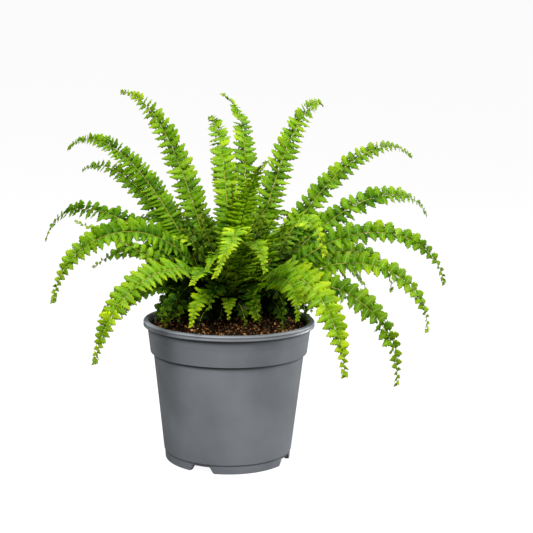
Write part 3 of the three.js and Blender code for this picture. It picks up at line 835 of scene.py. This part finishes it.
class FERN_OT_soil(bpy.types.Operator):
    """Make the potting soil: a lumpy heap that fills the pot, with loose crumbs on it"""
    bl_idname = "fern.soil"
    bl_label = "Make soil"

    def execute(self, context):
        settings = context.scene.fern_soil
        self.make_heap(settings)
        self.make_crumbs(settings)
        return {"FINISHED"}

    def make_heap(self, settings):
        """A polar grid. Ring k of the top lies at radius R k / n and at the heap's height plus noise of
        four sizes, and the rings below it follow the inside of the pot down to the floor."""
        share = (np.arange(HEAP_RINGS) + 1) / HEAP_RINGS
        heading = headings(HEAP_COLUMNS)
        top = turned(SOIL_RADIUS * share, 0 * share, heading)
        x, y, _ = np.moveaxis(top, -1, 0)
        flat = top[..., :2].reshape(-1, 2)
        lumps = sum(noise(flat, scale, seed) * size for scale, seed, size in HEAP_LUMPS)
        edge = (1 - share ** 12)[:, None]
        top[..., 2] = soil_height(x, y) + settings.grain * lumps.reshape(x.shape) * (0.3 + 0.7 * edge)
        wall = np.array([
            [SOIL_RADIUS, SOIL_EDGE_HEIGHT - 2 * MM],
            [COLLAR_FOOT_RADIUS - SOIL_INSET, SHOULDER_HEIGHT],
            [BODY_TOP_RADIUS - SOIL_INSET, SHOULDER_HEIGHT - 4 * MM],
            [FOOT_RADIUS - SOIL_INSET, SOIL_FLOOR],
        ])
        rings = np.vstack([top, turned(*wall.T, heading)])
        hubs = [[0, 0, soil_height(0, 0)], [0, 0, SOIL_FLOOR]]
        points = np.vstack([rings.reshape(-1, 3), hubs])
        polygons = [faces[:, ::-1] for faces in shell_faces(len(rings), HEAP_COLUMNS)]
        piece = add_mesh("soil_heap", points, polygons, [soil_material(settings, "peat_ground", False)])
        settle(piece, "peat_soil", "potting_soil")

    def make_crumbs(self, settings):
        """Crumbs are icosahedra, stretched and knocked about at random, laid on the heap by an even draw.

        Their twelve corners are (0, +-1, +-g) and its turns, with g the golden section. A crumb's radius
        is the middling one times e^(0.35 n), with n a normal draw. Every fourth is a chip twice as long.
        """
        rng = np.random.default_rng(CRUMB_SEED)
        count = settings.crumbs
        golden = (1 + 5 ** 0.5) / 2
        signs = np.array([[a, b * golden, 0] for a in (-1, 1) for b in (-1, 1)])
        corners = np.vstack([np.roll(signs, turn, axis=1) for turn in range(3)])
        corners = corners / np.linalg.norm(corners[0])
        near = np.linalg.norm(corners[:, None] - corners[None], axis=-1) < 1.1
        triples = [(i, j, k) for i, j, k in combinations(range(CRUMB_CORNERS), 3)
                   if near[i, j] and near[j, k] and near[i, k]]
        faces = np.array([t if np.linalg.det(corners[list(t)]) > 0 else t[::-1] for t in triples])
        radius = (SOIL_RADIUS - 1.5 * MM) * np.sqrt(rng.uniform(0, 1, count))
        heading = rng.uniform(0, 2 * np.pi, count)
        x, y = radius * np.cos(heading), radius * np.sin(heading)
        size = settings.crumb_size * np.exp(0.35 * rng.normal(size=count))
        stretch = rng.uniform(0.6, 1.25, (count, 1, 3))
        stretch[::CHIP_EVERY] *= CHIP_STRETCH
        dry = rng.uniform(0, 1, count)
        knock = 1 + 0.22 * rng.normal(size=(count, CRUMB_CORNERS, 1))
        turns, _ = np.linalg.qr(rng.normal(size=(count, 3, 3)))
        turns = turns * np.sign(np.linalg.det(turns))[:, None, None]
        local = (corners[None] * stretch * knock) @ turns * size[:, None, None]
        middle = np.stack([x, y, soil_height(x, y) + 0.35 * size], axis=-1)
        points = (local + middle[:, None]).reshape(-1, 3)
        triangles = (faces[None] + CRUMB_CORNERS * np.arange(count)[:, None, None]).reshape(-1, 3)
        piece = add_mesh("soil_crumbs", points, [triangles], [soil_material(settings, "peat_crumbs", True)],
                         values={"dry": np.repeat(dry, CRUMB_CORNERS)})
        settle(piece, "peat_soil")


# Fronds

def read_fronds():
    """Every frond of the table in metres, with the foot of its stem."""
    fronds = []
    for radius, start, rows in RINGS:
        for place, row in enumerate(rows):
            around = np.radians(start + 360 * place / len(rows))
            base = CROWN + radius * MM * np.array([np.cos(around), np.sin(around)])
            heading, sweep, rise, droop, bend, length, leaflet, lean, tone, *close = row
            bare = BARE_LENGTH + BARE_SHARE * length * MM
            fronds.append(Frond(base, heading, sweep, rise, droop, bend, length * MM, leaflet * MM, lean,
                                tone, bare, close[0] if close else 1, 0))
    return fronds


def rib_direction(slope, heading):
    """(cos slope cos heading, cos slope sin heading, sin slope), as an array (n, 3)."""
    return np.stack([np.cos(slope) * np.cos(heading), np.cos(slope) * np.sin(heading), np.sin(slope)], 1)


def rib_frame(frond, lengths):
    """Where the rib is at some lengths along it (n,), with the blade's directions there, four (n, 3).

    The slope is rise - droop s^bend, upright for the first stretch above the soil, and the heading is
    heading + sweep s^2, with s the share of the length. The spots are the running sum of small steps
    along the rib's direction. Below the soil the stem is upright. The blade is rolled about the rib by
    the lean times (min(1, s / lean share) + late lean s^4), so it rolls a little further near its tip.
    """
    share = np.linspace(0, 1, RIB_STEPS + 1)
    upright = np.clip(1 - share * frond.length / UPRIGHT_LENGTH, 0, None) ** 2
    slope = np.radians(frond.rise - frond.droop * share ** frond.bend + (90 - frond.rise) * upright)
    heading = np.radians(frond.heading + frond.sweep * share ** 2)
    foot = np.array([*frond.base, soil_height(*frond.base)])
    steps = np.cumsum(rib_direction(slope, heading)[:-1] * frond.length / RIB_STEPS, axis=0)
    spots = foot + np.vstack([np.zeros(3), steps])

    at = np.clip(lengths, 0, None) / frond.length
    pick = [np.interp(at, share, values) for values in (*spots.T, slope, heading)]
    spot = np.stack(pick[:3], axis=1)
    spot[:, 2] += np.minimum(lengths, 0)
    slope, heading = pick[3:]
    along = rib_direction(slope, heading)
    level = np.stack([-np.sin(heading), np.cos(heading), 0 * heading], axis=1)
    lean = np.radians(frond.lean) * (np.minimum(1, at / LEAN_SHARE) + LATE_LEAN * at ** 4)
    left = level * np.cos(lean)[:, None] + np.cross(along, level) * np.sin(lean)[:, None]
    return spot, along, left, np.cross(along, left)


def rib_mesh(frond, settings):
    """The stem and rib as a closed tube of eight sides that tapers, with a groove along its top.

    The section at angle a is (w cos a, h sin a), with h pulled in by a third where sin a is 1.
    """
    stations = max(12, int(frond.length / RIB_STATION))
    lengths = np.concatenate([[-ROOT_DEPTH], np.linspace(0, 0.995 * frond.length, stations)])
    spot, along, left, up = rib_frame(frond, lengths)
    share = np.clip(lengths, 0, None) / frond.length
    half = (settings.stem_width + (settings.tip_width - settings.stem_width) * share ** 0.5) / 2
    half = half * (0.75 + 0.25 * min(1, frond.length / (120 * MM)))
    angle = (np.arange(RIB_SIDES) + 0.5) * 2 * np.pi / RIB_SIDES + np.pi / 8
    groove = 1 - 0.35 * (np.sin(angle) > 0.95)
    across = half[:, None] * np.cos(angle)
    raised = half[:, None] * np.sin(angle) * groove
    points = spot[:, None] + left[:, None] * across[..., None] + up[:, None] * raised[..., None]
    points = np.vstack([points.reshape(-1, 3), spot[:1], spot[-1:] + along[-1:] * half[-1]])
    uv = np.stack(np.broadcast_arrays(share[:, None], (np.sin(angle) + 1) / 2), axis=-1).reshape(-1, 2)
    uv = np.vstack([uv, [[0, 0.5], [1, 0.5]]])
    return points, *shell_faces(len(lengths), RIB_SIDES), uv


def unit(vectors):
    """The vectors at length 1."""
    return vectors / np.linalg.norm(vectors, axis=-1, keepdims=True)


def leaflet_places(frond, settings):
    """Where leaflets leave the rib: their lengths along it, sides (1 left, -1 right), own lengths and the
    distances between them.

    They stand in turn on both sides. With s a leaflet's share of their number, the step to the next one
    is (foot + (1 - foot) min(1, s / open)) (1 - (1 - tip) s^6) of the widest step, so that they crowd
    towards the foot and the tip, and its place t is the running sum of the steps as a share of the blade.
    There are as many pairs as fit the blade at the mean spacing, five or more. A leaflet is as long as the
    longest one times min(1, first + rise t) (1 - t^bend)^power (1 - 0.25 t^2), where the last two
    factors together are no less than the last size.
    """
    pitch = settings.pitch * frond.close * (frond.leaflet + 12 * MM) / 2
    blade = BLADE_END * frond.length - frond.bare
    pairs = max(5, int(round(blade / pitch / MEAN_SPACING)))
    number = np.arange(2 * pairs)
    place = (number + 0.5) / (2 * pairs)
    step = FOOT_SPACING + (1 - FOOT_SPACING) * np.minimum(1, place / OPEN_FROM)
    step = step * (1 - (1 - TIP_SPACING) * place ** 6)
    share = (np.cumsum(step) - step / 2) / step.sum()
    spacing = 2 * blade * step / step.sum()
    taper = np.maximum(LAST_SIZE, (1 - share ** TAPER_BEND) ** TAPER_POWER * (1 - 0.25 * share ** 2))
    size = frond.leaflet * np.minimum(1, FIRST_SIZE + SIZE_RISE * share) * taper
    return frond.bare + blade * share, np.where(number % 2 == 0, 1.0, -1.0), size, spacing


def leaflet_axes(frond, lengths, side, rng):
    """Each leaflet's foot and its own directions: out along it, across it and up from it, all (n, 3).

    A leaflet leaves the rib sideways, a little raised and swept towards the tip, and more so at the very
    tip. It is turned about its own axis so that its far edge lies lower than its near one.
    """
    count = len(lengths)
    spot, along, left, up = rib_frame(frond, lengths)
    share = lengths / frond.length
    loose = share ** 4
    raised = np.radians(rng.normal(*LEAFLET_RAISE, count))
    swept = rng.normal(*LEAFLET_SWEEP, count) + np.clip((share - FORWARD_FROM) / FORWARD_OVER, 0, 1)
    out = left * side[:, None] * np.cos(raised)[:, None] + up * np.sin(raised)[:, None]
    axis = unit(out + along * swept[:, None])
    cross = -side[:, None] * along
    cross = unit(cross - axis * (cross * axis).sum(axis=1)[:, None])
    turn = np.radians(9 + rng.normal(size=count) * (11 + 16 * loose)) * side
    normal = np.cross(axis, cross)
    cross, normal = (cross * np.cos(turn)[:, None] + normal * np.sin(turn)[:, None],
                     normal * np.cos(turn)[:, None] - cross * np.sin(turn)[:, None])
    return spot, along, axis, cross, normal


def row_shares():
    """Shares of a leaflet's length where its rows lie: close behind its foot, then evenly to its tip."""
    return (np.arange(LEAFLET_ROWS) + 0.45) / (LEAFLET_ROWS + 0.45)


def leaflet_points(frond, settings, rng):
    """Corners of all the leaflets of a frond (n, corners, 3): base, tip, the top's grid, the keel below.

    With u a row's share of the leaflet's length, the half width is half the full one times
    (1 - e^(-u / 0.03)) (h (1 - u^1.3)^0.9 + (1 - h) (1 - u^2.4)^0.65). The share h is 1 for a pointed
    leaflet that hangs and 0 for a blunt one that rises, and at least 0.5 s^5 at the share s of the rib,
    so the leaflets at the tip are pointed too. Every second row is drawn in for the notch between two
    lobes. An ear stands at its base, on the side of the frond's tip. The top bulges on both sides of the
    midrib, its edges ripple, and its tip sags and bends forward. A leaflet's tone, which comes second, is
    the frond's one plus 0.3 (s - 0.5) + 0.35 s^6 - 0.5 e^(-s / 0.12) and a small draw.
    """
    lengths, side, size, spacing = leaflet_places(frond, settings)
    count = len(size)
    size = size * (1 - 0.06 * np.abs(rng.normal(size=count)))
    spot, along, axis, cross, normal = (part[:, None, None] for part in
                                        leaflet_axes(frond, lengths, side, rng))
    share = lengths / frond.length
    u = row_shares()[None, :, None]
    v = ACROSS[None, None]
    long = size[:, None, None]
    hang = np.clip(0.6 - 1.2 * axis[..., 2] + rng.normal(0, 0.12, (count, 1, 1)), 0, 1)
    hang = np.maximum(hang, 0.5 * share[:, None, None] ** 5)
    wide = np.minimum(settings.width * spacing[:, None, None], 1.6 * long)
    plain = (1 - np.exp(-u / 0.03)) * (hang * (1 - u ** 1.3) ** 0.9 + (1 - hang) * (1 - u ** 2.4) ** 0.65)
    notched = (np.arange(LEAFLET_ROWS) % 2)[None, :, None]
    notch = rng.uniform(0.2, 0.45, (count, LEAFLET_ROWS, len(ACROSS))) * notched
    ear = 0.30 * np.exp(-((u - 0.12) / 0.10) ** 2) * (v * -side[:, None, None] > 0)
    span = wide / 2 * (plain * (1 - notch * np.abs(v)) + ear) * v
    ripple = rng.uniform(0, 2 * np.pi, (count, 2))[:, None, [0, 0, 0, 1, 1]]
    wave = np.sin(np.pi * LOBES * u + ripple)
    fade = np.sin(np.pi * np.minimum(1, u + 0.1)) ** 0.5
    sag = rng.uniform(0.06, 0.24, (count, 1, 1))
    folds = 0.05 * np.sin(np.pi * np.abs(v)) + v ** 2 * (0.07 * wave - 0.06)
    rise = long * (0.08 * u - sag * u ** 2 + folds * fade)
    top = (spot + axis * (long * u + settings.gap)[..., None] + cross * span[..., None]
           + normal * rise[..., None] + along * (FORWARD_BEND * long * u ** 2)[..., None])
    thick = settings.thickness * (0.6 + 0.4 * np.minimum(1, long / (10 * MM)))
    keel = top[:, :, 2] - normal[:, 0] * thick
    spot, along, axis, normal = (part[:, 0] for part in (spot, along, axis, normal))
    base = spot - axis * settings.gap / 3
    tip = (spot + axis * (long * 1.01 + settings.gap) + along * FORWARD_BEND * long
           + normal * long * (0.08 - sag))
    tones = frond.tone + 0.3 * (share - 0.5) + 0.35 * share ** 6 - 0.5 * np.exp(-share / 0.12)
    tones = tones + rng.normal(0, 0.12, count)
    return np.concatenate([base, tip, top.reshape(count, -1, 3), keel], axis=1), tones


def leaflet_faces():
    """Quads and triangles of one leaflet, its pattern map, and 1 for each quad and triangle below."""
    rows, columns = LEAFLET_ROWS, len(ACROSS)
    grid = grid_quads(rows, columns, first=2)
    under = 2 + rows * columns + np.arange(rows)
    left = 2 + np.arange(rows) * columns
    right = left + columns - 1
    below = [np.stack([one[:-1], one[1:], other[1:], other[:-1]], axis=1)
             for one, other in ((left, under), (under, right))]
    last = left[-1] + np.arange(columns)
    caps = np.vstack([
        fan(0, left[0] + np.arange(columns)),
        fan(0, np.array([left[0], under[0], right[0]]))[:, ::-1],
        fan(1, last)[:, ::-1],
        fan(1, np.array([left[-1], under[-1], right[-1]])),
    ])
    u = row_shares()
    top = np.stack(np.broadcast_arrays(u[:, None], (ACROSS + 1) / 2), axis=-1).reshape(-1, 2)
    uv = np.vstack([[[0, 0.5], [1, 0.5]], top, np.stack([u, 0 * u + 0.5], axis=1)])
    quads = np.vstack([grid, *below])[:, ::-1]
    lower_quads = (np.arange(len(quads)) >= len(grid)).astype(float)
    lower_caps = np.repeat([0.0, 1.0, 0.0, 1.0], [columns - 1, 2, columns - 1, 2])
    return quads, caps, uv, lower_quads, lower_caps


def frond_parts(frond, settings, rng):
    """The arrays of one frond, its rib first and then its leaflets.

    They are points, quads, triangles, slots of the quads and of the triangles, under of the quads and of
    the triangles, pattern, tone and inner.
    """
    rib_points, rib_quads, rib_ends, rib_uv = rib_mesh(frond, settings)
    points, tones = leaflet_points(frond, settings, rng)
    quads, caps, uv, lower_quads, lower_caps = leaflet_faces()
    count, each = points.shape[:2]
    first = len(rib_points)
    offset = first + each * np.arange(count)[:, None, None]
    return (np.vstack([rib_points, points.reshape(-1, 3)]),
            np.vstack([rib_quads, (quads + offset).reshape(-1, 4)]),
            np.vstack([rib_ends, (caps + offset).reshape(-1, 3)]),
            np.repeat([1, 0], [len(rib_quads), count * len(quads)]),
            np.repeat([1, 0], [len(rib_ends), count * len(caps)]),
            np.concatenate([np.zeros(len(rib_quads)), np.tile(lower_quads, count)]),
            np.concatenate([np.zeros(len(rib_ends)), np.tile(lower_caps, count)]),
            np.vstack([rib_uv, np.tile(uv, (count, 1))]),
            np.concatenate([np.full(first, frond.tone), np.repeat(tones, each)]),
            np.full(first + points.size // 3, frond.inner))


def add_parts(name, fronds, materials):
    """One piece of the given fronds' arrays, joined end to end."""
    firsts = np.cumsum([0] + [len(parts[0]) for parts in fronds[:-1]])
    points, _, _, *slots, quads_under, caps_under, uv, tone, inner = map(np.concatenate, zip(*fronds))
    quads, caps = (np.vstack([parts[k] + first for parts, first in zip(fronds, firsts)]) for k in (1, 2))
    values = {"tone": tone, "under": np.concatenate([quads_under, caps_under]), "inner": inner}
    return add_mesh(name, points, [quads, caps], materials, np.concatenate(slots), uv, values)


def inner_fronds(count, seed):
    """Short dark fronds that fill the crown between the long ones.

    Frond k of n grows at about k golden angles round and at the radius R sqrt((k + 0.5) / n), which
    spreads the feet evenly over the crown. Every second one arches over and hangs, and the others stand
    up. Each blade is rolled to face the front.
    """
    rng = np.random.default_rng(seed)
    fronds = []
    for number in range(count):
        share = ((number + 0.5) / count) ** 0.5
        around = number * GOLDEN_ANGLE + rng.uniform(-12, 12)
        outward = np.array([np.cos(np.radians(around)), np.sin(np.radians(around))])
        base = CROWN + INNER_RADIUS * share * outward
        if number % 2:
            rise, droop, bend = 80 - 20 * share, rng.uniform(120, 165), rng.uniform(1.0, 1.4)
            length = rng.uniform(50, 85) * (1.2 - 0.7 * share) * MM
        else:
            rise, droop, bend = 89 - 22 * share, rng.uniform(10, 50), 1.4
            length = rng.uniform(60, 105) * (1.1 - 0.5 * share) * MM
        heading = around + rng.uniform(-20, 20)
        lean = 50 * np.cos(np.radians(heading)) + rng.uniform(-15, 15)
        fronds.append(Frond(base, heading, rng.uniform(-15, 15), rise, droop, bend, length,
                            rng.uniform(8, 11) * MM, lean, rng.uniform(-0.1, 0.35), INNER_BARE, 1, 1))
    return fronds


class FERN_OT_inner_fronds(bpy.types.Operator):
    """Make the inner fronds: short dark ones that fill the crown, in a few pieces"""
    bl_idname = "fern.inner_fronds"
    bl_label = "Make inner fronds"

    def execute(self, context):
        settings = context.scene.fern_foliage
        materials = foliage_materials(settings)
        fronds = inner_fronds(settings.inner, settings.seed)
        for group in range(INNER_PIECES):
            rng = np.random.default_rng(settings.seed + INNER_SEED + group)
            made = [frond_parts(frond, settings, rng) for frond in fronds[group::INNER_PIECES]]
            settle(add_parts(f"inner_fronds_{group + 1}", made, materials), "frond_leaf")
        return {"FINISHED"}


class FERN_OT_fronds(bpy.types.Operator):
    """Make the fronds: one piece for each frond of the frame, with a rib and scalloped leaflets"""
    bl_idname = "fern.fronds"
    bl_label = "Make fronds"

    def execute(self, context):
        settings = context.scene.fern_foliage
        materials = foliage_materials(settings)
        for number, frond in enumerate(read_fronds(), start=1):
            rng = np.random.default_rng(settings.seed + number)
            piece = add_parts(f"frond_{number:02d}_leaf", [frond_parts(frond, settings, rng)], materials)
            settle(piece, "frond_leaf", f"frond_{number:02d}")
        return {"FINISHED"}


# Stage

def add_light(name, width, power, place):
    """A square soft light at a place, turned to look at the middle of the plant."""
    data = bpy.data.lights.new(name, "AREA")
    data.size = width
    data.energy = power
    lamp = bpy.data.objects.new(name, data)
    lamp.location = place
    lamp.rotation_euler = (Vector(LIGHT_TARGET) - Vector(place)).to_track_quat("-Z", "Y").to_euler()
    bpy.context.scene.collection.objects.link(lamp)


class FERN_OT_stage(bpy.types.Operator):
    """Make the stage: a pale floor, soft studio lights and the camera"""
    bl_idname = "fern.stage"
    bl_label = "Make stage"

    def execute(self, context):
        settings = context.scene.fern_stage
        self.make_floor()
        self.make_lights(settings)
        self.make_camera(context.scene, settings)
        view = context.scene.view_settings
        view.view_transform = "Standard"
        view.look = "None"
        return {"FINISHED"}

    def make_floor(self):
        """A white disc that is flat round the pot and curves up to a rim all round.

        Its height is 0 to the flat radius and grows beyond it with the square of the way out.
        """
        height = np.clip(FLOOR_RADII - FLAT_RADIUS, 0, None) ** 2 * FLOOR_CURVE
        points = turned(FLOOR_RADII, height, headings(FLOOR_COLUMNS)).reshape(-1, 3)
        points = np.vstack([points, np.zeros(3)])
        hub = fan(len(points) - 1, np.append(np.arange(FLOOR_COLUMNS), 0))
        quads = grid_quads(len(FLOOR_RADII), FLOOR_COLUMNS, closed=True)[:, ::-1]
        material, paint, shader = new_material("pale_floor")
        seen = paint.node("ShaderNodeLightPath").outputs["Is Camera Ray"]
        paint.fill(shader, {
            "Emission Strength": paint.spread(seen, 0.0, 1.0, 0.08, 0.94),
            "Base Color": (0.1, 0.1, 0.1, 1),
            "Emission Color": (1, 1, 1, 1),
            "Roughness": 0.9,
            "Specular IOR Level": 0.1,
        })
        add_mesh("floor", points, [quads, hub], [material])

    def make_lights(self, settings):
        """A dim white sky, lights from the front left, the front right and above, and one behind right."""
        world = bpy.data.worlds.new("studio")
        world.use_nodes = True
        sky = {"Color": (1, 1, 1, 1), "Strength": SKY_LIGHT * settings.light}
        Painter(world.node_tree).fill(world.node_tree.nodes["Background"], sky)
        bpy.context.scene.world = world
        for name, width, power, place in LIGHTS:
            add_light(name, width, power * settings.light, place)

    def make_camera(self, scene, settings):
        """The camera looks along +y and down by the pitch, and is rolled about its view."""
        data = bpy.data.cameras.new("camera")
        data.lens = settings.lens
        data.sensor_width = 36
        camera = bpy.data.objects.new("camera", data)
        look = Vector((0, np.cos(settings.pitch), -np.sin(settings.pitch)))
        aim = look.to_track_quat("-Z", "Y").to_matrix().to_4x4()
        place = Matrix.Translation(Vector(settings.target) - look * settings.distance)
        camera.matrix_world = place @ aim @ Matrix.Rotation(settings.roll, 4, "Z")
        scene.collection.objects.link(camera)
        scene.camera = camera


class FERN_PT_panel(bpy.types.Panel):
    """Lists the fern's operators and settings."""
    bl_idname = "FERN_PT_panel"
    bl_label = "Potted fern"
    bl_space_type = "VIEW_3D"
    bl_region_type = "UI"
    bl_category = "Fern"

    def draw(self, context):
        for operator in OPERATORS:
            self.layout.operator(operator.bl_idname)
        for key, group in SETTINGS.items():
            box = self.layout.box()
            for name in group.__annotations__:
                box.prop(getattr(context.scene, key), name)


OPERATORS = (FERN_OT_pot, FERN_OT_soil, FERN_OT_fronds, FERN_OT_inner_fronds, FERN_OT_stage)
CLASSES = (*SETTINGS.values(), *OPERATORS, FERN_PT_panel)


def register():
    """Adds the classes to Blender and the settings to the scene."""
    for cls in CLASSES:
        bpy.utils.register_class(cls)
    for key, group in SETTINGS.items():
        setattr(bpy.types.Scene, key, bpy.props.PointerProperty(type=group))


def unregister():
    """Takes the settings and the classes out again."""
    for key in SETTINGS:
        delattr(bpy.types.Scene, key)
    for cls in reversed(CLASSES):
        bpy.utils.unregister_class(cls)


def main():
    """Makes every piece and the stage."""
    register()
    bpy.ops.fern.pot()
    bpy.ops.fern.soil()
    bpy.ops.fern.fronds()
    bpy.ops.fern.inner_fronds()
    bpy.ops.fern.stage()


if __name__ == "__main__":
    main()
